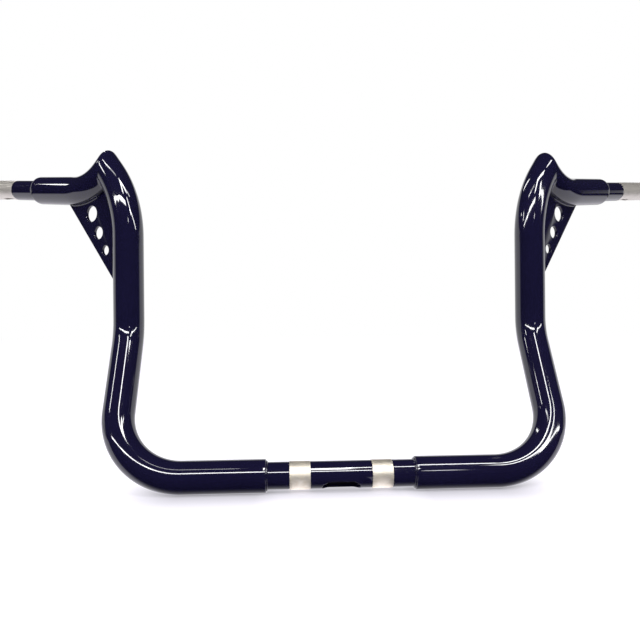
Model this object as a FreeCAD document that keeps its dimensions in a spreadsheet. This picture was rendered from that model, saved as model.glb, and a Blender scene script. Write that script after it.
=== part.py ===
"""Welded steel handlebar for a cruiser motorcycle, with tall risers and pulled-back ends.

A stepped-down clamp tube runs between two bent riser tubes. Each riser ends in a pointed mitre
with a curved elbow tube, which carries a slimmer grip tube and is braced by a drilled gusset.

Frame: millimetres, +Z up, +X to the right along the clamp tube, front towards -Y.
The origin is the middle of the clamp tube, on its axis.
"""
import FreeCAD
import Part
import math
import os

import Sketcher

# Driving sizes: millimetres, and degrees for the turns.
SIZES = {
    # Main tube, bent into the risers and the elbows
    "main_od": 34.9,
    "riser_wall": 3.05,
    "riser_end_round": 1.2,
    "elbow_end_round": 4.0,
    "tip_round": 4.0,
    # Fillet weld that closes each step down to a slimmer tube
    "weld_leg": 4.5,
    "weld_rise": 1.7,
    # Riser, from the clamp tube outwards and up
    "base_run": 87.0,
    "corner_clr": 73.0,
    "corner_turn": 90.0,
    "lower_run": 82.0,
    "kink_clr": 62.0,
    "riser_lean": 30.5,
    "upper_run": 96.0,
    "top_clr": 118.0,
    "top_turn": 41.0,
    "riser_stub": 6.0,
    # Elbow, from the mitre outwards and back
    "elbow_stub": 4.0,
    "elbow_clr": 78.0,
    "elbow_turn": 45.0,
    "elbow_run": 70.0,
    "pull_back": 35.5,
    "grip_rise": 7.0,
    # Clamp tube, which fills the risers' bore apart from the play between them
    "clamp_wall": 3.05,
    "clamp_gap": 156.0,
    "clamp_sleeve": 40.0,
    "sleeve_play": 0.1,
    "band_spacing": 86.0,
    "band_width": 23.0,
    "band_raise": 0.2,
    "clamp_slot_length": 41.0,
    "clamp_slot_width": 18.0,
    "clamp_slot_angle": 60.0,
    # Grip tube
    "grip_od": 25.4,
    "grip_wall": 3.05,
    "grip_length": 188.0,
    "grip_sleeve": 45.0,
    "spigot_step": 0.2,
    "grip_chamfer": 1.0,
    "grip_slot_length": 25.0,
    "grip_slot_width": 10.0,
    "grip_slot_start": 52.0,
    # Gusset plate and its three lightening holes, placed along and in from its free edge
    "gusset_thick": 4.0,
    "gusset_riser_seat": 79.0,
    "gusset_elbow_seat": 26.0,
    "hole_small": 11.5,
    "hole_small_along": 74.7,
    "hole_small_inset": 12.2,
    "hole_middle": 15.0,
    "hole_middle_along": 99.2,
    "hole_middle_inset": 16.6,
    "hole_large": 19.0,
    "hole_large_along": 125.5,
    "hole_large_inset": 22.4,
}
HOLES = ("hole_small", "hole_middle", "hole_large")

# Edge numbers of the end circles of a plain cylinder
BOTTOM_EDGE = 2
TOP_EDGE = 3

Vector = FreeCAD.Vector
X_AXIS = Vector(1, 0, 0)
Y_AXIS = Vector(0, 1, 0)
Z_AXIS = Vector(0, 0, 1)

doc = FreeCAD.newDocument("Handlebar")
sheet = doc.addObject("Spreadsheet::Sheet", "Sizes")
for row, (alias, value) in enumerate(SIZES.items(), start=1):
    sheet.set("A%d" % row, alias)
    sheet.set("B%d" % row, str(value))
    sheet.setAlias("B%d" % row, alias)
doc.recompute()


def size(alias):
    """A driving size, read from the sheet."""
    return float(sheet.get(alias))


def radians(alias):
    return math.radians(size(alias))


def unit(vector):
    result = Vector(vector)
    result.normalize()
    return result


def frame(origin, along_x, along_z):
    """A placement with its local X and Z along two square directions."""
    along_y = along_z.cross(along_x)
    matrix = FreeCAD.Matrix(
        along_x.x, along_y.x, along_z.x, origin.x,
        along_x.y, along_y.y, along_z.y, origin.y,
        along_x.z, along_y.z, along_z.z, origin.z,
        0, 0, 0, 1)
    return FreeCAD.Placement(matrix)


def square_to(direction):
    """Any direction square to the given one."""
    helper = X_AXIS if abs(direction.x) < 0.9 else Y_AXIS
    return unit(direction.cross(helper))


def add(kind, name, placement, **expressions):
    """Add a primitive whose sizes are expressions of the sheet's cells."""
    item = doc.addObject(kind, name)
    for prop, expression in expressions.items():
        item.setExpression(prop, expression)
    item.Placement = placement
    return item


def cylinder(name, start, heading, radius, height):
    return add("Part::Cylinder", name, frame(start, square_to(heading), heading), Radius=radius, Height=height)


def fuse(name, shapes):
    item = doc.addObject("Part::MultiFuse", name)
    item.Shapes = shapes
    return item


def cut(name, base, tool):
    item = doc.addObject("Part::Cut", name)
    item.Base = base
    item.Tool = tool
    return item


def mirror(name, source):
    """The other hand of a piece, across the YZ plane."""
    item = doc.addObject("Part::Mirroring", name)
    item.Source = source
    item.Base = Vector(0, 0, 0)
    item.Normal = X_AXIS
    return item


def round_end(name, base, edge, radius):
    """Round one end circle of a plain cylinder."""
    item = doc.addObject("Part::Fillet", name)
    item.Base = base
    item.Edges = [(edge, radius, radius)]
    return item


def turned(heading, towards, angle):
    """A heading turned by an angle towards a direction square to it."""
    return unit(heading * math.cos(angle) + towards * math.sin(angle))


class BentTube:
    """A tube's centre line, walked run by run, with the solid of any radius along it."""

    def __init__(self, start, heading):
        self.at = start
        self.heading = heading
        self.steps = []

    def run(self, length):
        self.steps.append(("run", self.at, self.heading, length))
        self.at = self.at + self.heading * size(length)
        return self

    def bend(self, radius, turn, towards):
        """A bend of the centre-line radius, towards a direction square to the heading."""
        centre = self.at + towards * size(radius)
        self.steps.append(("bend", centre, towards, self.heading, radius, turn))
        angle = radians(turn)
        self.at = centre + (self.heading * math.sin(angle) - towards * math.cos(angle)) * size(radius)
        self.heading = turned(self.heading, towards, angle)
        return self

    def pieces(self, name, radius):
        made = []
        for number, step in enumerate(self.steps, start=1):
            label = "%s_%d" % (name, number)
            if step[0] == "run":
                start, heading, length = step[1:]
                made.append(cylinder(label, start, heading, radius, "Sizes." + length))
            else:
                centre, towards, heading, bend_radius, turn = step[1:]
                out = towards * -1
                made.append(add("Part::Torus", label, frame(centre, out, out.cross(heading)),
                                Radius1="Sizes." + bend_radius, Radius2=radius, Angle3="Sizes." + turn))
        return made


MAIN_RADIUS = "Sizes.main_od / 2"
RISER_BORE = MAIN_RADIUS + " - Sizes.riser_wall"
CLAMP_RADIUS = RISER_BORE + " - Sizes.sleeve_play"
GRIP_RADIUS = "Sizes.grip_od / 2"
SPIGOT_RADIUS = GRIP_RADIUS + " - Sizes.spigot_step"
ELBOW_BORE = SPIGOT_RADIUS + " + Sizes.sleeve_play"

# Directions of the right-hand end: flat pull-back, and the grip's own axis
back_out = Vector(math.cos(radians("pull_back")), math.sin(radians("pull_back")), 0)
grip_axis = turned(back_out, Z_AXIS, radians("grip_rise"))
grip_up = turned(Z_AXIS, back_out * -1, radians("grip_rise"))
gusset_normal = back_out.cross(Z_AXIS)

# Centre lines of the right riser and elbow
lean_up = turned(Z_AXIS, Y_AXIS, radians("riser_lean"))
lean_in = turned(Y_AXIS * -1, Z_AXIS, radians("riser_lean"))
riser_line = BentTube(Vector(size("clamp_gap") / 2, 0, 0), X_AXIS)
riser_line.run("base_run").bend("corner_clr", "corner_turn", lean_up)
riser_line.run("lower_run").bend("kink_clr", "riser_lean", lean_in)
riser_line.run("upper_run")
top_bend_start = riser_line.at
riser_line.bend("top_clr", "top_turn", back_out).run("riser_stub")
mitre_point = riser_line.at
riser_end = riser_line.heading

elbow_start = turned(grip_axis, grip_up * -1, radians("elbow_turn"))
elbow_up = turned(grip_up, grip_axis, radians("elbow_turn"))
elbow_line = BentTube(mitre_point, elbow_start)
elbow_line.run("elbow_stub").bend("elbow_clr", "elbow_turn", elbow_up)
elbow_bend_end = elbow_line.at
elbow_line.run("elbow_run")
elbow_end = elbow_line.at

# The mitre: the plane that halves the turn from riser to elbow, leaning towards the tip
mitre_normal = unit(riser_end + elbow_start)
mitre_up = unit(riser_end - elbow_start)
mitre_half = riser_end.getAngle(mitre_up)


def half_space(name, normal):
    """A block that covers everything near the mitre on one side of its plane."""
    reach = 2 * size("main_od")
    corner = mitre_point - gusset_normal * reach - normal.cross(gusset_normal) * reach
    side = "4 * Sizes.main_od"
    return add("Part::Box", name, frame(corner, gusset_normal, normal), Length=side, Width=side, Height=side)


def tip_cutter():
    """What is ground off the sharp tip of the mitre to round it in the plane of the two tubes."""
    radius = size("tip_round")
    tip = mitre_point + mitre_up * (size("main_od") / 2 / math.sin(mitre_half))
    low = tip - mitre_up * (radius * math.cos(mitre_half) ** 2 / math.sin(mitre_half))
    along_x = mitre_normal.cross(mitre_up)
    corner = low - along_x * (size("main_od") / 2) - mitre_normal * radius
    block = add("Part::Box", "tip_block", frame(corner, along_x, mitre_up),
                Length="Sizes.main_od", Width="2 * Sizes.tip_round", Height="2 * Sizes.tip_round")
    centre = tip - mitre_up * (radius / math.sin(mitre_half)) - along_x * (size("main_od") / 2)
    core = cylinder("tip_core", centre, along_x, "Sizes.tip_round", "Sizes.main_od")
    return cut("tip_cutter", block, core)


tip_waste = tip_cutter()


def mitred_tube(name, line, bore, open_end, open_edge, open_round, past_mitre, waste_normal):
    """A bent tube, bored through, rounded at its open end and cut to the mitre and the ground tip."""
    solids = []
    for part, radius in (("outside", MAIN_RADIUS), ("bore", bore)):
        pieces = line.pieces("%s_%s" % (name, part), radius)
        if part == "outside":
            pieces[open_end] = round_end(name + "_end", pieces[open_end], open_edge, size(open_round))
        pieces.append(cylinder("%s_%s_past" % (name, part), mitre_point, past_mitre, radius, "Sizes.main_od"))
        solids.append(fuse("%s_%s" % (name, part), pieces))
    waste = half_space(name + "_waste", waste_normal)
    outside = cut(name + "_outside_cut", solids[0], waste)
    tube = cut(name + "_bored", outside, solids[1])
    return cut(name, tube, tip_waste), solids[0]


right_riser, riser_outside = mitred_tube(
    "right_riser", riser_line, RISER_BORE, 0, BOTTOM_EDGE, "riser_end_round", riser_end, mitre_normal)
right_elbow, elbow_outside = mitred_tube(
    "right_elbow", elbow_line, ELBOW_BORE, -1, TOP_EDGE, "elbow_end_round", elbow_start * -1, mitre_normal * -1)


def weld_ring(name, start, heading, radius):
    """A fillet weld around a slim tube, against the end face of the tube that it leaves."""
    return add("Part::Cone", name, frame(start, square_to(heading), heading),
               Radius1=radius + " + Sizes.weld_rise", Radius2=radius, Height="Sizes.weld_leg")


def slot_cutter(name, centre, along, inward, prefix):
    """A round-ended slot, cut inwards from outside the tube as far as its axis."""
    depth = "Sizes.main_od"
    half_run = (size(prefix + "_slot_length") - size(prefix + "_slot_width")) / 2
    width = "Sizes.%s_slot_width" % prefix
    side = inward.cross(along)
    outer = centre - inward * size("main_od")
    corner = outer - along * half_run - side * (size(prefix + "_slot_width") / 2)
    block = add("Part::Box", name + "_middle", frame(corner, along, inward),
                Length="Sizes.%s_slot_length - %s" % (prefix, width), Width=width, Height=depth)
    ends = [cylinder("%s_end_%d" % (name, number), outer + along * offset, inward, width + " / 2", depth)
            for number, offset in enumerate((-half_run, half_run), start=1)]
    return fuse(name, [block] + ends)


def clamp_tube():
    """The middle tube, sleeved into both risers and welded to their ends, with bands and a wiring slot."""
    half = size("clamp_gap") / 2 + size("clamp_sleeve")
    length = "Sizes.clamp_gap + 2 * Sizes.clamp_sleeve"
    start = Vector(-half, 0, 0)
    solids = [cylinder("clamp_stock", start, X_AXIS, CLAMP_RADIUS, length)]
    for side in (-1, 1):
        band_start = (side * size("band_spacing") - size("band_width")) / 2
        solids.append(cylinder("clamp_band", Vector(band_start, 0, 0), X_AXIS,
                               CLAMP_RADIUS + " + Sizes.band_raise", "Sizes.band_width"))
        riser_face = Vector(side * size("clamp_gap") / 2, 0, 0)
        solids.append(weld_ring("clamp_weld", riser_face, X_AXIS * -side, CLAMP_RADIUS))
    bore = cylinder("clamp_bore", start, X_AXIS, CLAMP_RADIUS + " - Sizes.clamp_wall", length)
    inward = turned(Y_AXIS, Z_AXIS, radians("clamp_slot_angle"))
    slot = slot_cutter("clamp_slot", Vector(0, 0, 0), X_AXIS, inward, "clamp")
    return cut("clamp_tube", cut("clamp_bored", fuse("clamp_blank", solids), bore), slot)


def grip_tube():
    """The slim outer tube: a spigot held in the elbow, a chamfered open end and a slot underneath."""
    start = elbow_end - grip_axis * size("grip_sleeve")
    exposed = cylinder("grip_exposed", elbow_end, grip_axis, GRIP_RADIUS, "Sizes.grip_length")
    chamfered = doc.addObject("Part::Chamfer", "grip_chamfered")
    chamfered.Base = exposed
    chamfered.Edges = [(TOP_EDGE, size("grip_chamfer"), size("grip_chamfer"))]
    spigot = cylinder("grip_spigot", start, grip_axis, SPIGOT_RADIUS, "Sizes.grip_sleeve")
    weld = weld_ring("grip_weld", elbow_end, grip_axis, GRIP_RADIUS)
    bore = cylinder("grip_bore", start, grip_axis, GRIP_RADIUS + " - Sizes.grip_wall",
                    "Sizes.grip_sleeve + Sizes.grip_length")
    middle = elbow_end + grip_axis * (size("grip_slot_start") + size("grip_slot_length") / 2)
    slot = slot_cutter("grip_slot", middle, grip_axis, grip_up, "grip")
    blank = fuse("grip_blank", [chamfered, spigot, weld])
    return cut("right_grip_tube", cut("grip_bored", blank, bore), slot)


def gusset():
    """The brace plate in the plane of riser and elbow, coped to both, with three holes."""
    foot = top_bend_start - Z_AXIS * size("gusset_riser_seat")
    heel = elbow_bend_end + grip_axis * size("gusset_elbow_seat")
    edge = unit(heel - foot)
    inset = edge.cross(gusset_normal) * -1
    if inset.z < 0:
        inset = inset * -1
    place = frame(foot, edge, edge.cross(inset))

    body = doc.addObject("PartDesign::Body", "gusset_plate")
    body.Placement = place
    plane = next(item for item in body.Origin.OriginFeatures if item.Role == "XY_Plane")

    outline = body.newObject("Sketcher::SketchObject", "gusset_outline")
    outline.AttachmentSupport = [(plane, "")]
    outline.MapMode = "FlatFace"
    inverse = place.inverse()
    corners = [inverse.multVec(point) for point in (foot, heel, mitre_point, top_bend_start)]
    for start, end in zip(corners, corners[1:] + corners[:1]):
        outline.addGeometry(Part.LineSegment(start, end), False)
    for number in range(len(corners)):
        following = (number + 1) % len(corners)
        outline.addConstraint(Sketcher.Constraint("Coincident", number, 2, following, 1))

    plate = body.newObject("PartDesign::Pad", "gusset_pad")
    plate.Profile = outline
    plate.SideType = "Symmetric"
    plate.setExpression("Length", "Sizes.gusset_thick")
    doc.recompute()

    drilling = body.newObject("Sketcher::SketchObject", "gusset_holes")
    drilling.AttachmentSupport = [(plane, "")]
    drilling.MapMode = "FlatFace"
    for number, hole in enumerate(HOLES):
        centre = Vector(size(hole + "_along"), size(hole + "_inset"), 0)
        drilling.addGeometry(Part.Circle(centre, Z_AXIS, size(hole) / 2), False)
        for kind, point, expression in (("DistanceX", 3, "_along"), ("DistanceY", 3, "_inset")):
            index = drilling.addConstraint(Sketcher.Constraint(kind, -1, 1, number, point, size(hole + expression)))
            drilling.setExpression("Constraints[%d]" % index, "Sizes.%s%s" % (hole, expression))
        index = drilling.addConstraint(Sketcher.Constraint("Diameter", number, size(hole)))
        drilling.setExpression("Constraints[%d]" % index, "Sizes." + hole)

    holes = body.newObject("PartDesign::Pocket", "gusset_drilled")
    holes.Profile = drilling
    holes.Type = "ThroughAll"
    holes.SideType = "Symmetric"
    doc.recompute()
    coped = cut("gusset_coped", body, riser_outside)
    return cut("right_gusset", coped, elbow_outside)


right_grip_tube = grip_tube()
right_gusset = gusset()
subparts = {"clamp_tube": clamp_tube()}
for piece, right in (("riser", right_riser), ("elbow", right_elbow),
                     ("grip_tube", right_grip_tube), ("gusset", right_gusset)):
    subparts["right_" + piece] = right
    subparts["left_" + piece] = mirror("left_" + piece, right)
doc.recompute()

for item in doc.Objects:
    if "Invalid" in item.State or "Error" in item.State:
        raise RuntimeError("%s did not build: %s" % (item.Name, item.State))
for node, item in subparts.items():
    item.Label = node
    shape = item.Shape
    if shape.isNull() or not shape.isValid() or len(shape.Solids) != 1:
        raise RuntimeError("%s is not one valid solid" % node)

os.makedirs("parts", exist_ok=True)
for node, item in subparts.items():
    item.Shape.exportStep("parts/%s.step" % node)
    box = item.Shape.BoundBox
    print("%-16s %9.1f mm3, x %7.1f to %7.1f, y %6.1f to %6.1f, z %6.1f to %6.1f" % (
        node, item.Shape.Volume, box.XMin, box.XMax, box.YMin, box.YMax, box.ZMin, box.ZMax))
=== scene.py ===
"""The look of a welded steel motorcycle handlebar: gloss powder coat, knurled clamp bands, bare grip ends."""
import math

import bmesh
import bpy
from mathutils import Matrix, Vector


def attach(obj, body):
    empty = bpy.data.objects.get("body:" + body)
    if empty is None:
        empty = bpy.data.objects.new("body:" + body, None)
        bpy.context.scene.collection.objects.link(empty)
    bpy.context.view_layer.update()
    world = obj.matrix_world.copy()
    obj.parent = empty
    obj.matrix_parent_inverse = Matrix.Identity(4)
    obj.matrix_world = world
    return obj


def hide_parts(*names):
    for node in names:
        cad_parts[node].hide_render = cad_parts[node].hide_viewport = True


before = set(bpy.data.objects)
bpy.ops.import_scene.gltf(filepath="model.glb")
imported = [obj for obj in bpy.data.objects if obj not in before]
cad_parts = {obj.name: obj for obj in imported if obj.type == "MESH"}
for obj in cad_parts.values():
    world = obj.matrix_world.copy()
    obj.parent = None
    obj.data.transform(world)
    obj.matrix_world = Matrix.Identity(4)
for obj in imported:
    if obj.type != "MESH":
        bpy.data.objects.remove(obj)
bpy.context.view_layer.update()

# Sizes in millimetres and degrees, as in the solids
MM = 0.001
MAIN_RADIUS = 17.45
BASE_RUN = 87.0
CORNER_CLR = 73.0
LOWER_RUN = 82.0
KINK_CLR = 62.0
RISER_LEAN = math.radians(30.5)
UPPER_RUN = 96.0
TOP_CLR = 118.0
TOP_TURN = math.radians(41.0)
RISER_STUB = 6.0
ELBOW_STUB = 4.0
ELBOW_CLR = 78.0
ELBOW_TURN = math.radians(45.0)
ELBOW_RUN = 70.0
PULL_BACK = math.radians(35.5)
GRIP_RISE = math.radians(7.0)
RISER_END_ROUND = 1.2
ELBOW_END_ROUND = 4.0
SLEEVE_PLAY = 0.1

CLAMP_RADIUS = 14.3
CLAMP_BORE = 11.25
CLAMP_HALF_GAP = 78.0
CLAMP_SLEEVE = 40.0
CLAMP_SLOT = (41.0, 18.0)
CLAMP_SLOT_ANGLE = math.radians(60.0)
BAND_SPACING = 86.0
BAND_WIDTH = 23.0

GRIP_RADIUS = 12.7
GRIP_BORE = 9.65
GRIP_LENGTH = 188.0
GRIP_SLEEVE = 45.0
GRIP_CHAMFER = 1.0
GRIP_SLOT = (25.0, 10.0)
GRIP_SLOT_START = 52.0

GUSSET_THICK = 4.0
GUSSET_RISER_SEAT = 79.0
GUSSET_ELBOW_SEAT = 26.0
GUSSET_HOLES = ((74.7, 12.2, 11.5), (99.2, 16.6, 15.0), (125.5, 22.4, 19.0))

# Points around a tube, the spacing of its rings, the least distance that counts, the one that merges points
AROUND = 72
RING_STEP = 3.0
CLOSE = 1e-6
SAME_POINT = 0.001

X_AXIS = Vector((1, 0, 0))
Y_AXIS = Vector((0, 1, 0))
Z_AXIS = Vector((0, 0, 1))


def turned(heading, towards, angle):
    """A heading turned by an angle towards a direction square to it."""
    return (heading * math.cos(angle) + towards * math.sin(angle)).normalized()


class CentreLine:
    """A bent tube's centre line, walked run by run, with a cross direction that never twists."""

    def __init__(self, start, heading, cross):
        self.at = start
        self.heading = heading
        self.cross = cross
        self.length = 0.0
        self.parts = []

    def run(self, length):
        """Go straight on."""
        self.parts.append((self.length, length, self.at, self.heading, self.cross, None, 0.0))
        self.at = self.at + self.heading * length
        self.length += length

    def bend(self, radius, turn, towards):
        """Turn towards a direction square to the heading."""
        self.parts.append((self.length, radius * turn, self.at, self.heading, self.cross, towards, radius))
        axis = self.heading.cross(towards)
        self.at = self.at + (self.heading * math.sin(turn) + towards * (1 - math.cos(turn))) * radius
        self.cross = Matrix.Rotation(turn, 3, axis) @ self.cross
        self.heading = turned(self.heading, towards, turn)
        self.length += radius * turn

    def place(self, along):
        """The point, heading and cross direction at a distance along the line, or straight past its ends."""
        chosen = self.parts[0]
        for part in self.parts:
            if along >= part[0]:
                chosen = part
        start, length, point, heading, cross, towards, radius = chosen
        step = along - start
        if towards is None:
            return point + heading * step, heading, cross
        bent = min(max(step, 0.0), length)
        angle = bent / radius
        moved = point + (heading * math.sin(angle) + towards * (1 - math.cos(angle))) * radius
        new_heading = turned(heading, towards, angle)
        new_cross = Matrix.Rotation(angle, 3, heading.cross(towards)) @ cross
        return moved + new_heading * (step - bent), new_heading, new_cross

    def skin(self, along, phase, radius):
        """The point on a tube of that radius, at an angle around the line from its cross direction."""
        point, heading, cross = self.place(along)
        side = heading.cross(cross)
        return point + (cross * math.cos(phase) + side * math.sin(phase)) * radius


# Directions of the right-hand end, and the corner where riser and elbow meet
back_out = Vector((math.cos(PULL_BACK), math.sin(PULL_BACK), 0))
grip_axis = turned(back_out, Z_AXIS, GRIP_RISE)
grip_up = turned(Z_AXIS, -back_out, GRIP_RISE)
plate_normal = back_out.cross(Z_AXIS)
lean_up = turned(Z_AXIS, Y_AXIS, RISER_LEAN)
lean_in = turned(-Y_AXIS, Z_AXIS, RISER_LEAN)


def corner_point():
    """Where the centre lines of riser and elbow meet, walked from the clamp tube, and the heading there."""
    line = CentreLine(X_AXIS * CLAMP_HALF_GAP, X_AXIS, Y_AXIS)
    line.run(BASE_RUN)
    line.bend(CORNER_CLR, math.pi / 2, lean_up)
    line.run(LOWER_RUN)
    line.bend(KINK_CLR, RISER_LEAN, lean_in)
    line.run(UPPER_RUN)
    line.bend(TOP_CLR, TOP_TURN, back_out)
    line.run(RISER_STUB)
    return line.at, line.heading


MITRE, riser_end = corner_point()
elbow_start = turned(grip_axis, -grip_up, ELBOW_TURN)
mitre_normal = (riser_end + elbow_start).normalized()

# Both lines start at the mitre with the plate's normal as cross direction, so their rings mirror there
riser_line = CentreLine(MITRE, -riser_end, plate_normal)
riser_line.run(RISER_STUB)
riser_line.bend(TOP_CLR, TOP_TURN, turned(back_out, -Z_AXIS, TOP_TURN))
top_bend_start = riser_line.at
TOP_BEND_START_ALONG = riser_line.length
riser_line.run(UPPER_RUN)
riser_line.bend(KINK_CLR, RISER_LEAN, -Y_AXIS)
riser_line.run(LOWER_RUN)
riser_line.bend(CORNER_CLR, math.pi / 2, -X_AXIS)
riser_line.run(BASE_RUN)

elbow_line = CentreLine(MITRE, elbow_start, plate_normal)
elbow_line.run(ELBOW_STUB)
elbow_line.bend(ELBOW_CLR, ELBOW_TURN, turned(grip_up, grip_axis, ELBOW_TURN))
elbow_bend_end = elbow_line.at
ELBOW_BEND_END_ALONG = elbow_line.length
elbow_line.run(ELBOW_RUN)
elbow_end = elbow_line.at


def linear(text):
    """An sRGB hex colour as linear RGBA."""
    values = [int(text[place:place + 2], 16) / 255 for place in (1, 3, 5)]
    return [v / 12.92 if v <= 0.04045 else ((v + 0.055) / 1.055) ** 2.4 for v in values] + [1.0]


def add_node(tree, kind, inputs=None, **settings):
    """Add a node to a tree: settings are its properties, inputs are plain values or sockets to link."""
    made = tree.nodes.new(kind)
    for name, value in settings.items():
        setattr(made, name, value)
    for key, value in (inputs or {}).items():
        if isinstance(value, bpy.types.NodeSocket):
            tree.links.new(value, made.inputs[key])
        else:
            made.inputs[key].default_value = value
    return made


def reckon(tree, operation, *values):
    """The result of a maths node on plain values or sockets."""
    return add_node(tree, "ShaderNodeMath", dict(enumerate(values)), operation=operation).outputs[0]


def ramp(tree, value, start, end, low, high, smooth=False):
    """A value that goes from low to high while another goes from start to end."""
    mapped = add_node(tree, "ShaderNodeMapRange", {
        "Value": value, "From Min": start, "From Max": end, "To Min": low, "To Max": high},
        interpolation_type="SMOOTHSTEP" if smooth else "LINEAR")
    return mapped.outputs["Result"]


def mixed(tree, factor, one, other):
    """A colour between two others, each an sRGB hex text or a socket."""
    ends = [linear(colour) if isinstance(colour, str) else colour for colour in (one, other)]
    mix = add_node(tree, "ShaderNodeMix", {"Factor": factor, "A": ends[0], "B": ends[1]}, data_type="RGBA")
    return mix.outputs[2]


def noise(tree, place, spacing, detail):
    """Noise whose lumps lie about that far apart."""
    cloud = add_node(tree, "ShaderNodeTexNoise", {"Vector": place, "Scale": 1 / spacing, "Detail": detail})
    return cloud.outputs["Fac"]


def bump(tree, height, strength, depth, below=None):
    """A normal raised by a height, on top of another bump if given."""
    inputs = {"Height": height, "Strength": strength, "Distance": depth}
    if below:
        inputs["Normal"] = below
    return add_node(tree, "ShaderNodeBump", inputs).outputs["Normal"]


def new_material(name):
    """An empty material, its node tree and the place on the object."""
    material = bpy.data.materials.new(name)
    material.use_nodes = True
    tree = material.node_tree
    tree.nodes.clear()
    return material, tree, add_node(tree, "ShaderNodeTexCoord").outputs["Object"]


def close_material(tree, inputs):
    """End a material's tree in one principled surface."""
    shader = add_node(tree, "ShaderNodeBsdfPrincipled", inputs)
    add_node(tree, "ShaderNodeOutputMaterial", {"Surface": shader.outputs["BSDF"]})


def gloss_powder_coat():
    """Gloss powder coat, near-black navy: a flowed-out film, mirror-bright, with slight orange peel."""
    material, tree, place = new_material("gloss_powder_coat")
    # Depth of colour drifts over a hand's width as the film's thickness does
    drift = noise(tree, place, 0.07, 2.0)
    # Orange peel: faint dimples 4 mm apart, on a longer swell left by the flow
    peel = bump(tree, noise(tree, place, 0.004, 1.0), 0.1, 0.00002)
    swell = bump(tree, noise(tree, place, 0.018, 0.0), 0.15, 0.0001, below=peel)
    # Handling haze: some patches are a little less sharp
    haze = ramp(tree, drift, 0.35, 0.7, 0.045, 0.085)
    close_material(tree, {
        "Base Color": mixed(tree, drift, "#0f0d25", "#14122d"), "Roughness": haze, "IOR": 1.65,
        "Normal": swell})
    return material


def knurled_steel():
    """Bare steel, rolled with a diamond knurl and wiped with oil: bright crests, warm dull valleys."""
    material, tree, place = new_material("knurled_bare_steel")
    stain = noise(tree, place, 0.006, 3.0)
    close_material(tree, {
        "Base Color": mixed(tree, stain, "#e2d7c5", "#fbf6ec"), "Metallic": 1.0,
        "Roughness": ramp(tree, stain, 0.3, 0.7, 0.62, 0.48)})
    return material


def drawn_steel():
    """Bare drawn steel tube, sanded round by hand: grey, with fine scratches and faint handling marks."""
    material, tree, place = new_material("drawn_bare_steel")
    marks = noise(tree, place, 0.02, 4.0)
    # Sanding scratches around the tube, 0.8 mm apart so that they show, change the roughness alone:
    # the UV's U runs along the tube
    round_tube = add_node(tree, "ShaderNodeUVMap", uv_map="UVMap").outputs["UV"]
    stretched = add_node(tree, "ShaderNodeMapping", {"Vector": round_tube, "Scale": (1 / 0.0008, 6.0, 1.0)})
    scratches = noise(tree, stretched.outputs["Vector"], 1.0, 2.0)
    close_material(tree, {
        "Base Color": mixed(tree, marks, "#d2cdc7", "#e8e3dc"), "Metallic": 1.0,
        "Roughness": ramp(tree, scratches, 0.3, 0.7, 0.5, 0.58)})
    return material


def bore_steel():
    """Mill-scaled inside of the tubes: dark blue-grey oxide, dull."""
    material, tree, place = new_material("mill_scaled_steel")
    flakes = noise(tree, place, 0.005, 4.0)
    close_material(tree, {
        "Base Color": mixed(tree, flakes, "#403e4c", "#615d62"), "Metallic": 0.6, "Roughness": 0.6})
    return material


COAT = gloss_powder_coat()
KNURL = knurled_steel()
STEEL = drawn_steel()
MILL_SCALE = bore_steel()

# Material places on the tubes
OUTSIDE = 0
INSIDE = 1

SHARP_EDGE = math.radians(40)


def new_object(name, data):
    """A new object in the scene."""
    made = bpy.data.objects.new(name, data)
    bpy.context.scene.collection.objects.link(made)
    return made


def finish_mesh(name, bm, materials, nodes=(), sharp=SHARP_EDGE):
    """Turn a bmesh in millimetres into a smooth-shaded piece on the bar."""
    for edge in bm.edges:
        edge.smooth = len(edge.link_faces) == 2 and edge.calc_face_angle(math.pi) < sharp
    for face in bm.faces:
        face.smooth = True
    mesh = bpy.data.meshes.new(name)
    bm.to_mesh(mesh)
    bm.free()
    mesh.transform(Matrix.Scale(MM, 4))
    for material in materials:
        mesh.materials.append(material)
    piece = new_object(name, mesh)
    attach(piece, "root")
    if nodes:
        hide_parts(*nodes)


def both_hands(name, make, materials, nodes=()):
    """Make a right-hand piece and its mirror image."""
    for hand in ("right", "left"):
        bm = make()
        if hand == "left":
            bmesh.ops.scale(bm, vec=(-1, 1, 1), verts=bm.verts)
            bmesh.ops.reverse_faces(bm, faces=bm.faces)
        finish_mesh("%s_%s" % (hand, name), bm, materials, ["%s_%s" % (hand, node) for node in nodes])


def even_rows(start, end, step):
    """Even stations from start to end, no more than a step apart."""
    count = max(1, math.ceil((end - start) / step))
    return [start + (end - start) * n / count for n in range(count + 1)]


def circle_turns(count):
    """Even angles around a circle."""
    return [2 * math.pi * n / count for n in range(count)]


def ring_faces(bm, first, second, index=OUTSIDE):
    """Join two rings of vertices with quads."""
    for place in range(len(first)):
        following = (place + 1) % len(first)
        face = bm.faces.new((first[place], first[following], second[following], second[place]))
        face.material_index = index


# The mitred corner: the reach of the search for its cut, the length over which rings ease out of it,
# its ground edge, and the open ends of its tubes
MITRE_REACH = 40.0
HALVINGS = 48
MITRE_ZONE = 46.0
MITRE_STEPS = (0.14, 0.26, 0.38, 0.5, 0.62, 0.74, 0.87, 1.0)
MITRE_ROUND = 2.8
MITRE_SEGMENTS = 5
END_ROUND_STEPS = 4
BORE_PAST_SLEEVE = 2


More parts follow.
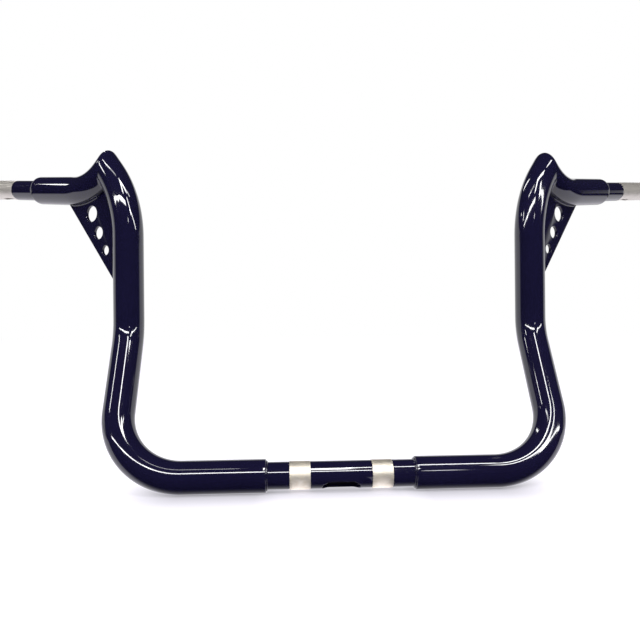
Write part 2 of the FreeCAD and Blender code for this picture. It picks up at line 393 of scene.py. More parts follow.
def mitre_crossing(line, phase):
    """How far along a tube's skin, at one angle around it, the mitre plane cuts it."""
    low, high = -MITRE_REACH, MITRE_REACH
    rising = (line.skin(high, phase, MAIN_RADIUS) - MITRE).dot(mitre_normal) > 0
    for _ in range(HALVINGS):
        middle = (low + high) / 2
        above = (line.skin(middle, phase, MAIN_RADIUS) - MITRE).dot(mitre_normal) > 0
        if above == rising:
            high = middle
        else:
            low = middle
    return (low + high) / 2


def open_end_rings(length, edge_round, bore, depth):
    """Stations and radii that round a tube's open end, cross its face and go back down its bore."""
    rings = []
    for step in range(END_ROUND_STEPS + 1):
        angle = math.pi / 2 * step / END_ROUND_STEPS
        rings.append((length - edge_round + edge_round * math.sin(angle),
                      MAIN_RADIUS - edge_round + edge_round * math.cos(angle)))
    rings.append((length, bore))
    rings.append((length - depth, bore))
    return rings


def welded_corner():
    """Riser and elbow as one welded and ground tube, creased along the mitre up to the pointed tip."""
    bm = bmesh.new()
    tubes = []
    for line, sign, edge_round, bore, depth in (
            (riser_line, 1, RISER_END_ROUND, CLAMP_RADIUS + SLEEVE_PLAY, CLAMP_SLEEVE + BORE_PAST_SLEEVE),
            (elbow_line, -1, ELBOW_END_ROUND, GRIP_RADIUS - SLEEVE_PLAY, GRIP_SLEEVE + BORE_PAST_SLEEVE)):
        turns = [sign * turn for turn in circle_turns(AROUND)]
        starts = [mitre_crossing(line, turn) for turn in turns]
        cut = [line.skin(start, turn, MAIN_RADIUS) for start, turn in zip(starts, turns)]
        rings = []
        for step in MITRE_STEPS:
            rings.append([line.skin(start + (MITRE_ZONE - start) * step, turn, MAIN_RADIUS)
                          for start, turn in zip(starts, turns)])
        last = line.length - edge_round
        stations = [(along, MAIN_RADIUS) for along in even_rows(MITRE_ZONE, last, RING_STEP)[1:-1]]
        stations += open_end_rings(line.length, edge_round, bore, depth)
        for along, radius in stations:
            rings.append([line.skin(along, turn, radius) for turn in turns])
        tubes.append((cut, rings))

    seam = [bm.verts.new((one + other) / 2) for one, other in zip(tubes[0][0], tubes[1][0])]
    for _, rings in tubes:
        previous = seam
        for ring in rings:
            verts = [bm.verts.new(point) for point in ring]
            ring_faces(bm, previous, verts)
            previous = verts
        bm.faces.new(previous)
    bmesh.ops.recalc_face_normals(bm, faces=bm.faces)
    on_seam = set(seam)
    seam_edges = [edge for edge in bm.edges if on_seam.issuperset(edge.verts)]
    bmesh.ops.bevel(bm, geom=seam_edges, offset=MITRE_ROUND, offset_type="OFFSET", segments=MITRE_SEGMENTS,
                    profile=0.5, affect="EDGES", clamp_overlap=True)
    return bm


both_hands("riser_and_elbow", welded_corner, [COAT], ("riser", "elbow"))


# The slots: the tube's grid around them, the loops from grid to edge, and the rolled mouth
SLOT_ROWS = 24
SLOT_COLUMNS = 16
SLOT_MARGIN = 4.0
STRAIGHT_SHARE = 0.5
PATCH_STEPS = (0.3, 0.58, 0.8, 1.0)
MOUTH_STEPS = (0.25, 0.5, 0.75, 1.0)
MOUTH_ROLL = 0.6


def slot_outline(half_length, half_width, patch_along=1.0, patch_across=1.0):
    """Matching points, going round, on a slot's edge and on the rectangle of tube grid that holds it."""
    rectangle = [(-1 + 2 * n / SLOT_ROWS, -1) for n in range(SLOT_ROWS)]
    rectangle += [(1, -1 + 2 * n / SLOT_COLUMNS) for n in range(SLOT_COLUMNS)]
    rectangle += [(1 - 2 * n / SLOT_ROWS, 1) for n in range(SLOT_ROWS)]
    rectangle += [(-1, 1 - 2 * n / SLOT_COLUMNS) for n in range(SLOT_COLUMNS)]
    straight = half_length - half_width
    pairs = []
    for u, v in rectangle:
        # The straight sides take the middle share of the grid's length, the round ends the rest
        if abs(v) == 1 and abs(u) <= STRAIGHT_SHARE:
            edge = (straight * u / STRAIGHT_SHARE, half_width * v)
        else:
            reach = (abs(u) - STRAIGHT_SHARE) / (1 - STRAIGHT_SHARE) if abs(v) == 1 else 2 - abs(v)
            angle = math.pi / 4 * reach
            edge = (math.copysign(straight + half_width * math.sin(angle), u),
                    math.copysign(half_width * math.cos(angle), v))
        pairs.append((edge, (u * patch_along, v * patch_across)))
    return pairs


class SlottedTube:
    """A tube along local X with a round-ended slot facing local -Z, its mouth softly rolled in."""

    def __init__(self, radius, slot, middle, patch_turn):
        self.radius = radius
        self.half_length = slot[0] / 2
        self.half_width = slot[1] / 2
        self.middle = middle
        self.patch_turn = patch_turn
        self.patch_along = self.half_length + SLOT_MARGIN
        self.bm = bmesh.new()

    def on_wall(self, along, turn, radius):
        """A vertex on a wall of that radius, at an angle around it from the slot's middle."""
        return self.bm.verts.new((self.middle + along, radius * math.sin(turn), -radius * math.cos(turn)))

    def wall(self, radius, rows, index, mouth_gap):
        """One wall of the tube as a grid with a slot; gives back its end rings and its slot edge."""
        columns = [self.patch_turn * (-1 + 2 * n / SLOT_COLUMNS) for n in range(SLOT_COLUMNS + 1)]
        rest = AROUND - SLOT_COLUMNS
        open_turn = 2 * math.pi - 2 * self.patch_turn
        columns += [self.patch_turn + open_turn * n / rest for n in range(1, rest)]
        stations = [x for x in rows if x < -self.patch_along - CLOSE]
        first = len(stations)
        stations += [self.patch_along * (-1 + 2 * n / SLOT_ROWS) for n in range(SLOT_ROWS + 1)]
        last = len(stations) - 1
        stations += [x for x in rows if x > self.patch_along + CLOSE]
        grid = []
        for row, x in enumerate(stations):
            cut = first < row < last
            grid.append([None if cut and 0 < n < SLOT_COLUMNS else self.on_wall(x, turn, radius)
                         for n, turn in enumerate(columns)])
        for row, (low, high) in enumerate(zip(grid, grid[1:])):
            for n in range(len(columns)):
                if n < SLOT_COLUMNS and first <= row < last:
                    continue
                following = (n + 1) % len(columns)
                face = self.bm.faces.new((low[n], low[following], high[following], high[n]))
                face.material_index = index
        edge = self.patch(grid[first:last + 1], radius, index, mouth_gap)
        return grid[0], grid[-1], edge

    def patch(self, rows, radius, index, mouth_gap):
        """The rings of faces from the tube's grid in to the slot's edge."""
        border = [rows[n][0] for n in range(SLOT_ROWS)]
        border += [rows[SLOT_ROWS][n] for n in range(SLOT_COLUMNS)]
        border += [rows[SLOT_ROWS - n][SLOT_COLUMNS] for n in range(SLOT_ROWS)]
        border += [rows[0][SLOT_COLUMNS - n] for n in range(SLOT_COLUMNS)]
        pairs = slot_outline(self.half_length + mouth_gap, self.half_width + mouth_gap,
                             self.patch_along, self.patch_turn)
        loops = [border]
        for step in PATCH_STEPS:
            loop = []
            for (edge_x, edge_y), (patch_x, patch_y) in pairs:
                turn = math.asin(max(-1.0, min(1.0, edge_y / radius)))
                loop.append(self.on_wall(patch_x + (edge_x - patch_x) * step,
                                         patch_y + (turn - patch_y) * step, radius))
            loops.append(loop)
        for outer, inner in zip(loops, loops[1:]):
            ring_faces(self.bm, outer, inner, index)
        return loops[-1]

    def mouth(self, outer_edge, inner_edge):
        """The slot's cut wall, with a rolled outer edge, between the two walls of the tube."""
        previous = outer_edge
        for step in MOUTH_STEPS:
            angle = math.pi / 2 * step
            gap = MOUTH_ROLL * (1 - math.sin(angle))
            drop = MOUTH_ROLL * (1 - math.cos(angle))
            loop = []
            for (x, y), _ in slot_outline(self.half_length + gap, self.half_width + gap):
                depth = math.sqrt(self.radius ** 2 - y ** 2) - drop
                loop.append(self.bm.verts.new((self.middle + x, y, -depth)))
            ring_faces(self.bm, previous, loop)
            previous = loop
        ring_faces(self.bm, previous, inner_edge)

    def both_walls(self, bore, start, end, gap, step):
        """The tube from start to end without its end faces; gives back its outer and inner end rings."""
        rows = even_rows(start, -self.patch_along - gap, step) + even_rows(self.patch_along + gap, end, step)
        *outer, outer_edge = self.wall(self.radius, rows, OUTSIDE, MOUTH_ROLL)
        *inner, inner_edge = self.wall(bore, rows, INSIDE, 0.0)
        self.mouth(outer_edge, inner_edge)
        return outer, inner


CLAMP_PATCH_TURN = math.radians(70)
CLAMP_PATCH_GAP = 1.0
CLAMP_ROW_STEP = 4.0


def clamp_tube():
    """The middle tube along X, with its wiring slot turned down to the front."""
    tube = SlottedTube(CLAMP_RADIUS, CLAMP_SLOT, 0.0, CLAMP_PATCH_TURN)
    half = CLAMP_HALF_GAP + CLAMP_SLEEVE
    outer, inner = tube.both_walls(CLAMP_BORE, -half, half, CLAMP_PATCH_GAP, CLAMP_ROW_STEP)
    for outer_end, inner_end in zip(outer, inner):
        ring_faces(tube.bm, outer_end, inner_end, INSIDE)
    bmesh.ops.recalc_face_normals(tube.bm, faces=tube.bm.faces)
    turn = Matrix.Rotation(-(math.pi / 2 - CLAMP_SLOT_ANGLE), 4, "X")
    bmesh.ops.transform(tube.bm, matrix=turn, verts=tube.bm.verts)
    return tube.bm


finish_mesh("clamp_tube_coated", clamp_tube(), [COAT, MILL_SCALE], ["clamp_tube"])


GRIP_PATCH_TURN = math.radians(45)
GRIP_PATCH_GAP = 0.5
GRIP_LIP = 0.4


def grip_tube():
    """The bare outer tube, slotted underneath and chamfered at its open end."""
    middle = GRIP_SLOT_START + GRIP_SLOT[0] / 2
    tube = SlottedTube(GRIP_RADIUS, GRIP_SLOT, middle, GRIP_PATCH_TURN)
    start, end = -GRIP_SLEEVE - middle, GRIP_LENGTH - GRIP_CHAMFER - middle
    outer, inner = tube.both_walls(GRIP_BORE, start, end, GRIP_PATCH_GAP, RING_STEP)
    ring_faces(tube.bm, outer[0], inner[0], INSIDE)
    previous = outer[1]
    for radius in (GRIP_RADIUS - GRIP_CHAMFER, GRIP_BORE + GRIP_LIP):
        ring = [tube.on_wall(GRIP_LENGTH - middle, math.atan2(vert.co.y, -vert.co.z), radius)
                for vert in outer[1]]
        ring_faces(tube.bm, previous, ring)
        previous = ring
    ring_faces(tube.bm, previous, inner[1])
    bmesh.ops.recalc_face_normals(tube.bm, faces=tube.bm.faces)
    layer = tube.bm.loops.layers.uv.new("UVMap")
    for face in tube.bm.faces:
        for loop in face.loops:
            turn = math.atan2(loop.vert.co.y, -loop.vert.co.z)
            loop[layer].uv = (loop.vert.co.x * MM, abs(turn) / math.pi)
    side = grip_up.cross(grip_axis)
    place = Matrix((grip_axis, side, grip_up)).transposed().to_4x4()
    place.translation = elbow_end
    bmesh.ops.transform(tube.bm, matrix=place, verts=tube.bm.verts)
    return tube.bm


both_hands("grip_tube_bare", grip_tube, [STEEL, MILL_SCALE], ("grip_tube",))


# The coat's lap on to the grip tube: its length and film, where its edge has thinned out and sunk into the
# tube, and the waves of that masked edge by height, count and shift
LAP_START = 0.5
LAP_END = 46.0
LAP_MARGIN = 2.0
LAP_STEP = 2.5
LAP_SUNK = 1.0
FILM = 0.12
THIN_FILM = FILM * 0.6
THIN_AFTER = 0.3
SUNK_AFTER = 0.4
EDGE_WAVES = ((0.35, 3, 0.7), (0.2, 7, 0.0), (0.12, 13, 2.0))


def grip_coat():
    """The coat that laps on to the root of the grip tube: a thin film with a wavy masked edge."""
    bm = bmesh.new()
    film, sunk = GRIP_RADIUS + FILM, GRIP_RADIUS - LAP_SUNK
    stations = [(LAP_START, sunk), (LAP_START, film)]
    stations += [(along, film) for along in even_rows(LAP_MARGIN, LAP_END - LAP_MARGIN, LAP_STEP)]
    edge_start = len(stations)
    stations += [(LAP_END, film), (LAP_END + THIN_AFTER, GRIP_RADIUS + THIN_FILM),
                 (LAP_END + SUNK_AFTER, sunk)]
    rings = []
    for number, (along, radius) in enumerate(stations):
        ring = []
        for turn in circle_turns(AROUND):
            wave = sum(height * math.sin(count * turn + shift) for height, count, shift in EDGE_WAVES)
            reach = along + (wave if number >= edge_start else 0.0)
            outwards = grip_up * math.cos(turn) + plate_normal * math.sin(turn)
            ring.append(bm.verts.new(elbow_end + grip_axis * reach + outwards * radius))
        rings.append(ring)
    for ring, following in zip(rings, rings[1:] + rings[:1]):
        ring_faces(bm, ring, following)
    bmesh.ops.recalc_face_normals(bm, faces=bm.faces)
    return bm


both_hands("grip_root_coat", grip_coat, [COAT])


def add_line(curve, points, closed=True):
    """Add a line through points to a curve."""
    spline = curve.splines.new("POLY")
    spline.points.add(len(points) - 1)
    for target, point in zip(spline.points, points):
        target.co = (*point, 1)
    spline.use_cyclic_u = closed


def evaluated_mesh(holder):
    """A plain mesh of an object as its curve and modifiers make it."""
    depsgraph = bpy.context.evaluated_depsgraph_get()
    return bpy.data.meshes.new_from_object(holder.evaluated_get(depsgraph))


def used_up(holder, mesh):
    """A mesh as a bmesh; the mesh and the object that made it are removed."""
    bm = bmesh.new()
    bm.from_mesh(mesh)
    bpy.data.objects.remove(holder)
    bpy.data.meshes.remove(mesh)
    return bm


# A point inside the corner, below the elbow and beside the riser
INSIDE_CORNER = top_bend_start + back_out * 50 + Z_AXIS * 20


def inner_skin(line, along, radius):
    """The point at a radius from a tube's centre line, on the side that faces into the corner."""
    point, heading, cross = line.place(along)
    side = heading.cross(cross)
    if side.dot(INSIDE_CORNER - point) < 0:
        side = -side
    return point + side * radius


# The gusset: its rounded edge, how deep it is let into the tubes, and where its seat on each tube starts
GUSSET_EDGE_ROUND = 0.7
GUSSET_EDGE_STEPS = 3
GUSSET_LET_IN = 1.5
GUSSET_SEAT_START = 22.0
GUSSET_SEAT_STEP = 4.0
HOLE_SIDES = 48


def gusset_plate():
    """The drilled brace: a flat curve with holes, thickened with rounded edges, let into both tubes."""
    foot = top_bend_start - Z_AXIS * GUSSET_RISER_SEAT
    heel = elbow_bend_end + grip_axis * GUSSET_ELBOW_SEAT
    edge = (heel - foot).normalized()
    inward = plate_normal.cross(edge)
    if inward.z < 0:
        inward = -inward
    seat = MAIN_RADIUS - GUSSET_LET_IN

    def flat_seat(line, end):
        """A tube's seat for the gusset, from the corner outwards, in the plane of the plate."""
        points = [inner_skin(line, along, seat) - foot
                  for along in even_rows(GUSSET_SEAT_START, end, GUSSET_SEAT_STEP)]
        return [(point.dot(edge), point.dot(inward), 0) for point in points]

    outline = [(seat / back_out.dot(edge), 0, 0)]
    outline += reversed(flat_seat(riser_line, TOP_BEND_START_ALONG))
    outline += flat_seat(elbow_line, ELBOW_BEND_END_ALONG)
    outline.append(((heel - foot).length - seat / grip_up.dot(edge), 0, 0))

    curve = bpy.data.curves.new("gusset_outline", "CURVE")
    curve.dimensions = "2D"
    curve.fill_mode = "BOTH"
    curve.extrude = GUSSET_THICK / 2 - GUSSET_EDGE_ROUND
    curve.bevel_depth = GUSSET_EDGE_ROUND
    curve.bevel_resolution = GUSSET_EDGE_STEPS
    curve.offset = -GUSSET_EDGE_ROUND
    add_line(curve, outline)
    for along, inset, bore in GUSSET_HOLES:
        add_line(curve, [(along + bore / 2 * math.cos(turn), inset + bore / 2 * math.sin(turn), 0)
                         for turn in circle_turns(HOLE_SIDES)])
    holder = new_object("gusset_outline", curve)
    bm = used_up(holder, evaluated_mesh(holder))
    bmesh.ops.remove_doubles(bm, verts=bm.verts, dist=SAME_POINT)
    bmesh.ops.recalc_face_normals(bm, faces=bm.faces)
    place = Matrix((edge, inward, edge.cross(inward))).transposed().to_4x4()
    place.translation = foot
    bmesh.ops.transform(bm, matrix=place, verts=bm.verts)
    return bm


both_hands("gusset_plate", gusset_plate, [COAT], ("gusset",))


def geometry_tree(name, sizes, material):
    """An empty Geometry Nodes tree with a geometry input and output, named sizes and a named material."""
    tree = bpy.data.node_groups.new(name, "GeometryNodeTree")
    tree.interface.new_socket("Geometry", in_out="INPUT", socket_type="NodeSocketGeometry")
    for label, kind in sizes.items():
        tree.interface.new_socket(label, in_out="INPUT", socket_type="NodeSocket" + kind)
    tree.interface.new_socket(material, in_out="INPUT", socket_type="NodeSocketMaterial")
    tree.interface.new_socket("Geometry", in_out="OUTPUT", socket_type="NodeSocketGeometry")
    return tree, add_node(tree, "NodeGroupInput").outputs


def close_tree(tree, geometry, material):
    """End a tree in plain geometry with its material."""
    real = add_node(tree, "GeometryNodeRealizeInstances", {"Geometry": geometry})
    dressed = add_node(tree, "GeometryNodeSetMaterial", {
        "Geometry": real.outputs["Geometry"], "Material": material})
    add_node(tree, "NodeGroupOutput", {"Geometry": dressed.outputs["Geometry"]})


def grow(holder, tree, sizes):
    """Run a tree on an object and give back the result as a bmesh in millimetres."""
    modifier = holder.modifiers.new("grow", "NODES")
    modifier.node_group = tree
    for item in tree.interface.items_tree:
        if item.in_out == "INPUT" and item.name in sizes:
            modifier[item.identifier] = sizes[item.name]
    mesh = evaluated_mesh(holder)
    holder.modifiers.remove(modifier)
    return used_up(holder, mesh)


# Weld beads: points along a ripple, sides of the bead, the share that thins out at an end, its size there
RIPPLE_POINTS = 6.0
BEAD_SIDES = 14
TAPER_SHARE = 0.1
TAPER_SIZE = 0.3


def weld_bead_tree():
    """A weld bead along a curve: overlapping ripples, like a row of coins pushed over."""
    tree, given = geometry_tree("weld_bead", {
        "Bead radius": "Float", "Ripple pitch": "Float", "Ripple depth": "Float",
        "End size": "Float"}, "Coat")
    step = reckon(tree, "DIVIDE", given["Ripple pitch"], RIPPLE_POINTS)
    line = add_node(tree, "GeometryNodeResampleCurve", {
        "Curve": given["Geometry"], "Length": step}, mode="LENGTH")
    path = add_node(tree, "GeometryNodeSplineParameter").outputs
    ripples = reckon(tree, "DIVIDE", path["Length"], given["Ripple pitch"])
    wave = reckon(tree, "PINGPONG", ripples, 0.5)
    swell = reckon(tree, "MULTIPLY_ADD", wave, given["Ripple depth"], 1.0)
    nearest_end = reckon(tree, "PINGPONG", path["Factor"], 0.5)
    taper = ramp(tree, nearest_end, 0.0, TAPER_SHARE, given["End size"], 1.0, smooth=True)
    ring = add_node(tree, "GeometryNodeCurvePrimitiveCircle", {
        "Resolution": BEAD_SIDES, "Radius": given["Bead radius"]})
    bead = add_node(tree, "GeometryNodeCurveToMesh", {
        "Curve": line.outputs["Curve"], "Profile Curve": ring.outputs["Curve"],
        "Scale": reckon(tree, "MULTIPLY", swell, taper), "Fill Caps": True})
    close_tree(tree, bead.outputs["Mesh"], given["Coat"])
    return tree


WELD_BEAD = weld_bead_tree()


def bead_along(points, radius, pitch, depth, closed=False):
    """A weld bead through points, as a bmesh in millimetres."""
    curve = bpy.data.curves.new("weld_path", "CURVE")
    curve.dimensions = "3D"
    add_line(curve, points, closed)
    bm = grow(new_object("weld_path", curve), WELD_BEAD, {
        "Bead radius": radius, "Ripple pitch": pitch, "Ripple depth": depth,
        "End size": 1.0 if closed else TAPER_SIZE, "Coat": COAT})
    bmesh.ops.recalc_face_normals(bm, faces=bm.faces)
    return bm


def joined(parts):
    """Several bmeshes as one."""
    whole = bmesh.new()
    for part in parts:
        mesh = bpy.data.meshes.new("part")
        part.to_mesh(mesh)
        part.free()
        whole.from_mesh(mesh)
        bpy.data.meshes.remove(mesh)
    return whole


# The gusset's welds: where they start, how far short of its foot and heel they stop, their stand-off,
# and their bead by radius, ripple pitch and ripple depth
FILLET_START = 25.0
FILLET_STEP = 2.0
RISER_FILLET_SHORT = 29.0
ELBOW_FILLET_SHORT = 22.0
FILLET_OFF = 0.2
FILLET_BEAD = (1.5, 2.4, 0.28)

# The welds at the steps: points around, ripple pitch and depth, then each ring's shift along its tube,
# its rise off that tube and the radius of its bead
STEP_WELD_POINTS = 96
STEP_RIPPLE = (2.6, 0.16)
CLAMP_STEP_WELD = (-0.2, 0.1, 1.5)
GRIP_STEP_WELD = (0.8, 0.2, 2.2)


def gusset_welds():
    """Fillet welds on both faces of the gusset, along the riser and along the elbow."""
    parts = []
    for line, last in ((riser_line, TOP_BEND_START_ALONG + GUSSET_RISER_SEAT - RISER_FILLET_SHORT),
                       (elbow_line, ELBOW_BEND_END_ALONG + GUSSET_ELBOW_SEAT - ELBOW_FILLET_SHORT)):
        for face in (-1, 1):
            beside = plate_normal * face * (GUSSET_THICK / 2 + FILLET_OFF)
            points = [inner_skin(line, along, MAIN_RADIUS + FILLET_OFF) + beside
                      for along in even_rows(FILLET_START, last, FILLET_STEP)]
            parts.append(bead_along(points, *FILLET_BEAD))
    return joined(parts)


def step_welds():
    """The weld rings where the riser steps down to the clamp tube and the elbow to the grip tube."""
    parts = []
    for step, axis, tube_radius, (shift, rise, bead) in (
            (X_AXIS * CLAMP_HALF_GAP, X_AXIS, CLAMP_RADIUS, CLAMP_STEP_WELD),
            (elbow_end, grip_axis, GRIP_RADIUS, GRIP_STEP_WELD)):
        across = axis.cross(Y_AXIS).normalized()
        other = axis.cross(across)
        centre = step + axis * shift
        points = [centre + (across * math.cos(turn) + other * math.sin(turn)) * (tube_radius + rise)
                  for turn in circle_turns(STEP_WELD_POINTS)]
        parts.append(bead_along(points, bead, *STEP_RIPPLE, closed=True))
    return joined(parts)


both_hands("gusset_weld", gusset_welds, [COAT])
both_hands("step_weld", step_welds, [COAT])


# The knurl: diamonds around, radii of its valleys and crests, and how far its two edges sink into the tube
KNURL_AROUND = 60
KNURL_LOW = CLAMP_RADIUS + 0.03
KNURL_HIGH = CLAMP_RADIUS + 0.33
KNURL_SUNK = 0.8
KNURL_SHARP = math.radians(20)
GRID_EDGE = 0.4999


def knurl_tree():
    """A ring of diamond knurl: a grid rolled up, raised to a small pyramid between crossing grooves."""
    tree, given = geometry_tree("knurled_band", {
        "Around": "Int", "Rows": "Int", "Width": "Float", "Low radius": "Float",
        "High radius": "Float"}, "Steel")
    columns = reckon(tree, "MULTIPLY_ADD", given["Around"], 2.0, 1.0)
    rows = reckon(tree, "MULTIPLY_ADD", given["Rows"], 2.0, 1.0)
    grid = add_node(tree, "GeometryNodeMeshGrid", {
        "Size X": 1.0, "Size Y": 1.0, "Vertices X": columns, "Vertices Y": rows})
    flat = add_node(tree, "ShaderNodeSeparateXYZ", {
        "Vector": add_node(tree, "GeometryNodeInputPosition").outputs["Position"]}).outputs
    around = reckon(tree, "MULTIPLY", flat["X"], given["Around"])
    along = reckon(tree, "MULTIPLY", flat["Y"], given["Rows"])
    grooves = [reckon(tree, "PINGPONG", reckon(tree, operation, around, along), 0.5)
               for operation in ("ADD", "SUBTRACT")]
    lower = reckon(tree, "MINIMUM", *grooves)
    height = ramp(tree, lower, 0.0, 0.5, given["Low radius"], given["High radius"])
    # The first and last row turn the band's edges down into the tube
    at_edge = reckon(tree, "GREATER_THAN", reckon(tree, "ABSOLUTE", flat["Y"]), GRID_EDGE)
    sunk = reckon(tree, "MULTIPLY_ADD", at_edge, -KNURL_SUNK, height)
    turn = reckon(tree, "MULTIPLY", flat["X"], 2 * math.pi)
    across = [reckon(tree, "MULTIPLY", reckon(tree, operation, turn), sunk)
              for operation in ("COSINE", "SINE")]
    place = add_node(tree, "ShaderNodeCombineXYZ", {
        "X": reckon(tree, "MULTIPLY", flat["Y"], given["Width"]), "Y": across[0], "Z": across[1]})
    rolled = add_node(tree, "GeometryNodeSetPosition", {
        "Geometry": grid.outputs["Mesh"], "Position": place.outputs["Vector"]})
    merged = add_node(tree, "GeometryNodeMergeByDistance", {
        "Geometry": rolled.outputs["Geometry"], "Distance": SAME_POINT})
    close_tree(tree, merged.outputs["Geometry"], given["Steel"])
    return tree


KNURLED_BAND = knurl_tree()


def knurled_band(side):
    """One bare clamp band, closed inside from one sunk edge to the other."""
    rows = round(BAND_WIDTH / (2 * math.pi * KNURL_HIGH / KNURL_AROUND))
    bm = grow(new_object("band", bpy.data.meshes.new("band")), KNURLED_BAND, {
        "Around": KNURL_AROUND, "Rows": rows, "Width": BAND_WIDTH,
        "Low radius": KNURL_LOW, "High radius": KNURL_HIGH, "Steel": KNURL})
    open_edges = [edge for edge in bm.edges if edge.is_boundary]
    bmesh.ops.bridge_loops(bm, edges=open_edges)
    bmesh.ops.recalc_face_normals(bm, faces=bm.faces)
    bmesh.ops.translate(bm, vec=(side * BAND_SPACING / 2, 0, 0), verts=bm.verts)
    return bm


for hand, side in (("left", -1), ("right", 1)):
    finish_mesh("%s_clamp_band_knurl" % hand, knurled_band(side), [KNURL], sharp=KNURL_SHARP)


# The table, in metres: where the bar's painted shadow lies, over the shadow that the lamps cast, and the
# painted reflection of the table in the bar's gloss
FLOOR_HEIGHT = -(MAIN_RADIUS + 0.05) * MM
FLOOR_SIZE = 6.0
PAINTED_SHADOW_HALF_LENGTH = 0.165
PAINTED_SHADOW_REACH = 0.072
PAINTED_SHADOW_LEVEL = 0.28
CLAMP_PAINTED_SHADOW_END = (0.065, 0.09)
CLAMP_PAINTED_SHADOW_LOSS = 0.018
GLOSS_START = (-0.018, 0.0)
GLOSS_LEVEL = 1.2
GLOSS_END = (1.5, 2.4)
# Size of the painted reflection patch in front of each clamp band, seen in the gloss alone
BAND_REFLECTION_PATCH_LENGTH = 0.08
BAND_REFLECTION_PATCH_HALF_WIDTH = (BAND_WIDTH / 2 - 2) * MM


def ray_kinds(tree):
    """Whether a ray comes from the camera, and whether it comes off or through the bar's surface."""
    light = add_node(tree, "ShaderNodeLightPath").outputs
    mirrored = reckon(tree, "MAXIMUM", light["Is Glossy Ray"], light["Is Transmission Ray"])
    return light["Is Camera Ray"], mirrored


def white_floor():
    """A white table top: pure white to the eye away from the bar, with a soft shadow close to it, partly cast
    by the lamps and partly painted, and a painted reflection in the bar's gloss.
    """
    material, tree, on_table = new_material("white_table")
    place = add_node(tree, "ShaderNodeSeparateXYZ", {"Vector": on_table}).outputs
    # Painted shadow: distance from the line that the bar rests on, over which the table's glow to the eye is
    # lowered
    sideways = reckon(tree, "ABSOLUTE", place["X"])
    beside = reckon(tree, "MAXIMUM", reckon(tree, "SUBTRACT", sideways, PAINTED_SHADOW_HALF_LENGTH), 0.0)
    offset = add_node(tree, "ShaderNodeCombineXYZ", {"X": beside, "Y": place["Y"]})
    away = add_node(tree, "ShaderNodeVectorMath", {0: offset.outputs["Vector"]}, operation="LENGTH")
    # The clamp tube is thinner and clear of the table, so the painted shadow is narrower under it
    raised = ramp(tree, sideways, *CLAMP_PAINTED_SHADOW_END, CLAMP_PAINTED_SHADOW_LOSS, 0.0)
    out_of_shadow = reckon(tree, "ADD", away.outputs["Value"], raised)
    # Painted shadow: the glow that whitens the table to the eye falls to a low level close to the bar
    painted_shadow_lift = ramp(tree, out_of_shadow, 0.0, PAINTED_SHADOW_REACH, PAINTED_SHADOW_LEVEL, 1.0)
    # Painted reflection: seen in the bar's gloss alone, the table glows white under and behind the bar and is
    # dark in front, unlike its look to the eye
    behind = ramp(tree, place["Y"], *GLOSS_START, 0.0, GLOSS_LEVEL, smooth=True)
    within = ramp(tree, sideways, *GLOSS_END, 1.0, 0.0, smooth=True)
    # Painted reflection: in the gloss alone, a white glowing patch of table lies in front of each clamp band
    at_band = reckon(tree, "COMPARE", sideways, BAND_SPACING / 2 * MM, BAND_REFLECTION_PATCH_HALF_WIDTH)
    in_front = reckon(tree, "COMPARE", place["Y"], -BAND_REFLECTION_PATCH_LENGTH / 2, BAND_REFLECTION_PATCH_LENGTH / 2)
    painted_reflection_glow = reckon(tree, "MULTIPLY_ADD", behind, within, reckon(tree, "MULTIPLY", at_band, in_front))
    seen, mirrored = ray_kinds(tree)
    # The table's glow: its painted reflection in the gloss, and to the eye its white glow with the painted
    # shadow
    glow = reckon(tree, "MULTIPLY_ADD", mirrored, painted_reflection_glow, reckon(tree, "MULTIPLY", seen, painted_shadow_lift))
    # To the eye the table's colour is darker than for light bouncing off it, so that the painted shadow
    # shows; in the gloss it is near black apart from its painted reflection
    colour = mixed(tree, mirrored, mixed(tree, seen, "#c8c6d0", "#8a8890"), "#201f24")
    paper = add_node(tree, "ShaderNodeBsdfDiffuse", {"Color": colour})
    shine = add_node(tree, "ShaderNodeEmission", {"Color": linear("#faf8ff"), "Strength": glow})
    both = add_node(tree, "ShaderNodeAddShader", {0: paper.outputs["BSDF"], 1: shine.outputs["Emission"]})
    add_node(tree, "ShaderNodeOutputMaterial", {"Surface": both.outputs["Shader"]})
    bm = bmesh.new()
    bmesh.ops.create_grid(bm, x_segments=1, y_segments=1, size=FLOOR_SIZE)
    mesh = bpy.data.meshes.new("white_table")
    bm.to_mesh(mesh)
    bm.free()
    mesh.transform(Matrix.Translation((0, 0, FLOOR_HEIGHT)))
    mesh.materials.append(material)
    floor = new_object("white_table", mesh)


# The room, by direction: even fill light, and a white wall behind the bar that fades into a dim room
FILL_LIGHT = 0.2
WALL_TOP = 0.15
WALL_LEAN = 2.0
WALL_FADE = (0.06, 0.28)
DIM_ROOM = 0.02


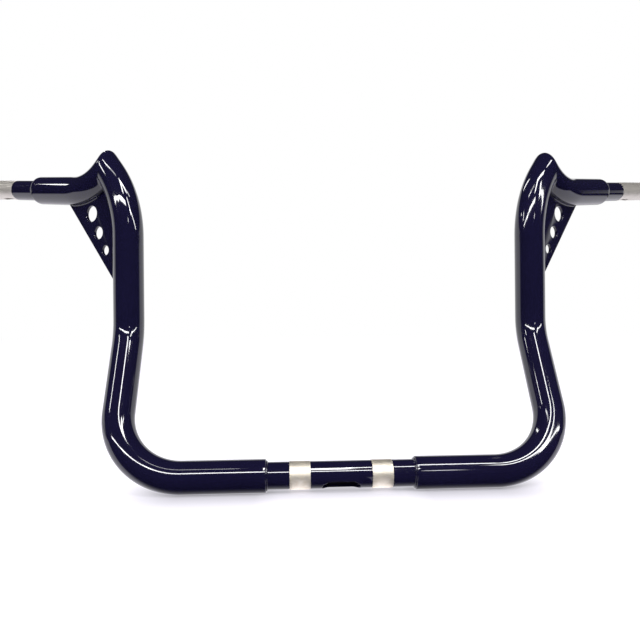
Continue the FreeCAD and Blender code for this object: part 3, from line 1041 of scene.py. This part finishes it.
def white_room():
    """The surroundings: white to the eye and behind the bar, a dim room in front, even fill light."""
    world = bpy.data.worlds.new("white_room")
    bpy.context.scene.world = world
    world.use_nodes = True
    tree = world.node_tree
    tree.nodes.clear()
    direction = add_node(tree, "ShaderNodeSeparateXYZ", {
        "Vector": add_node(tree, "ShaderNodeTexCoord").outputs["Generated"]}).outputs
    # The white wall behind ends at a low ceiling, so above its top edge it leans back with height
    height = reckon(tree, "MAXIMUM", reckon(tree, "SUBTRACT", direction["Z"], WALL_TOP), 0.0)
    leaning = reckon(tree, "MULTIPLY_ADD", height, -WALL_LEAN, direction["Y"])
    behind = ramp(tree, leaning, *WALL_FADE, DIM_ROOM, 1.0, smooth=True)
    seen, mirrored = ray_kinds(tree)
    lit = add_node(tree, "ShaderNodeMix", {
        "Factor": mirrored, "A": FILL_LIGHT, "B": behind}, data_type="FLOAT")
    strength = add_node(tree, "ShaderNodeMix", {
        "Factor": seen, "A": lit.outputs[0], "B": 1.0}, data_type="FLOAT")
    back = add_node(tree, "ShaderNodeBackground", {"Color": (1, 1, 1, 1), "Strength": strength.outputs[0]})
    add_node(tree, "ShaderNodeOutputWorld", {"Surface": back.outputs["Background"]})


# Rows of tubes across the ceiling in front of the bar, short ones overhead and two lamps at the left:
# both ends in metres, width and radiance
CEILING = 2.0
LAMP_ROWS = (
    ("front_left_tubes", (0.5, -2.28, CEILING), (-1.1, -2.45, CEILING), 0.28, 22.0),
    ("far_left_tubes", (-1.1, -2.45, CEILING), (-2.3, -2.72, CEILING), 0.2, 24.0),
    ("wall_left_tubes", (-2.3, -2.72, CEILING), (-4.5, -2.6, CEILING), 0.18, 22.0),
    ("overhead_left_tubes", (-1.1, -0.78, CEILING), (-0.7, -0.82, CEILING), 0.1, 20.0),
    ("overhead_shaded_tubes", (-0.7, -0.82, CEILING), (-0.25, -0.88, CEILING), 0.1, 8.0),
    ("middle_tubes", (0.14, -0.85, CEILING), (0.14, -1.45, CEILING), 0.2, 22.0),
    ("overhead_right_tubes", (0.2, -0.89, CEILING), (0.85, -0.86, CEILING), 0.18, 24.0),
    ("front_right_tubes", (1.02, -1.5, CEILING), (1.8, -2.1, CEILING), 0.2, 22.0),
    ("far_right_tubes", (1.8, -2.1, CEILING), (4.6, -2.15, CEILING), 0.2, 20.0),
    ("end_right_tubes", (0.95, -0.68, CEILING), (1.35, -0.62, CEILING), 0.1, 16.0),
    ("back_left_tubes", (-1.15, 1.5, CEILING), (-0.85, 0.75, CEILING), 0.12, 16.0),
    ("window_right", (1.1, -4.4, CEILING), (1.4, -4.4, CEILING), 0.3, 14.0),
    ("stand_left", (-1.23, -0.27, 1.09), (-1.47, -0.42, 1.01), 0.1, 18.0),
    ("door_left", (-1.86, 0.37, 1.28), (-1.98, 0.27, 1.28), 0.1, 18.0),
)
LAMP_TARGET = Vector((0, 0.05, 0.15))


def lamp_row(name, start, end, width, radiance):
    """A row of fluorescent tubes from one point of the room to another, aimed at the bar."""
    one, other = Vector(start), Vector(end)
    along = other - one
    lamp = bpy.data.lights.new(name, "AREA")
    lamp.shape = "RECTANGLE"
    lamp.size = along.length
    lamp.size_y = width
    lamp.energy = radiance * math.pi * along.length * width
    place = (one + other) / 2
    back = (place - LAMP_TARGET).normalized()
    x_axis = (along - back * along.dot(back)).normalized()
    y_axis = back.cross(x_axis)
    turn = Matrix((x_axis, y_axis, back)).transposed().to_4x4()
    turn.translation = place
    new_object(name, lamp).matrix_world = turn


# The camera: film width in millimetres, focal length in film widths, then place, yaw and roll
SENSOR = 36.0
FOCAL_WIDTHS = 650 / 640
EYE = Vector((-0.0585, -0.6801, 0.1621))
YAW = 0.056
ROLL = 0.009


def camera():
    """The photograph's low view, a little left of the bar's middle."""
    data = bpy.data.cameras.new("camera")
    data.sensor_width = SENSOR
    data.lens = SENSOR * FOCAL_WIDTHS
    forward = Vector((math.sin(YAW), math.cos(YAW), 0))
    right = forward.cross(Vector((ROLL, 0, 1))).normalized()
    up = right.cross(forward)
    turn = Matrix((right, up, -forward)).transposed().to_4x4()
    turn.translation = EYE
    eye = new_object("camera", data)
    eye.matrix_world = turn
    bpy.context.scene.camera = eye


white_floor()
white_room()
for row in LAMP_ROWS:
    lamp_row(*row)
camera()
bpy.context.scene.view_settings.view_transform = "Standard"
